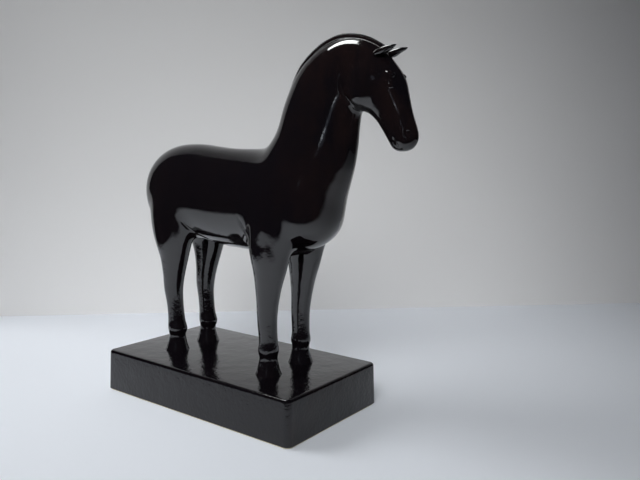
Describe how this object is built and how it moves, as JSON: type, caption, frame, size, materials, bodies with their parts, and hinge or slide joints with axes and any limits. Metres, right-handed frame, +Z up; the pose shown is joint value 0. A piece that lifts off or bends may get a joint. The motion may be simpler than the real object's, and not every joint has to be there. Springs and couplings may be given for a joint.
{
  "type": "ceramic horse figurine",
  "caption": "Black-glazed ceramic horse with a roached mane and lowered head, standing square on a hollow rectangular plinth.",
  "frame": {"origin": "middle of the plinth's underside, on the surface that the figurine stands on", "axes": "+X towards the horse's head, +Y towards the horse's left side, +Z up"},
  "size_m": [0.2785, 0.1204, 0.3015],
  "materials": {
    "black_glaze": "glossy black iron glaze, rust-brown where thin",
    "bare_clay": "matt unglazed clay"
  },
  "bodies": {
    "root": {"plinth_shell": "black_glaze", "foot_rim": "bare_clay", "trunk_left": "black_glaze", "trunk_right": "black_glaze", "neck_left": "black_glaze", "neck_right": "black_glaze", "head_left": "black_glaze", "head_right": "black_glaze", "mane": "black_glaze", "tail": "black_glaze", "ear_left": "black_glaze", "ear_right": "black_glaze", "eye_left": "black_glaze", "eye_right": "black_glaze", "foreleg_left": "black_glaze", "foreleg_right": "black_glaze", "hindleg_left": "black_glaze", "hindleg_right": "black_glaze", "forehoof_left": "black_glaze", "forehoof_right": "black_glaze", "hindhoof_left": "black_glaze", "hindhoof_right": "black_glaze", "slip_fillets": "black_glaze"}
  },
  "joints": []
}
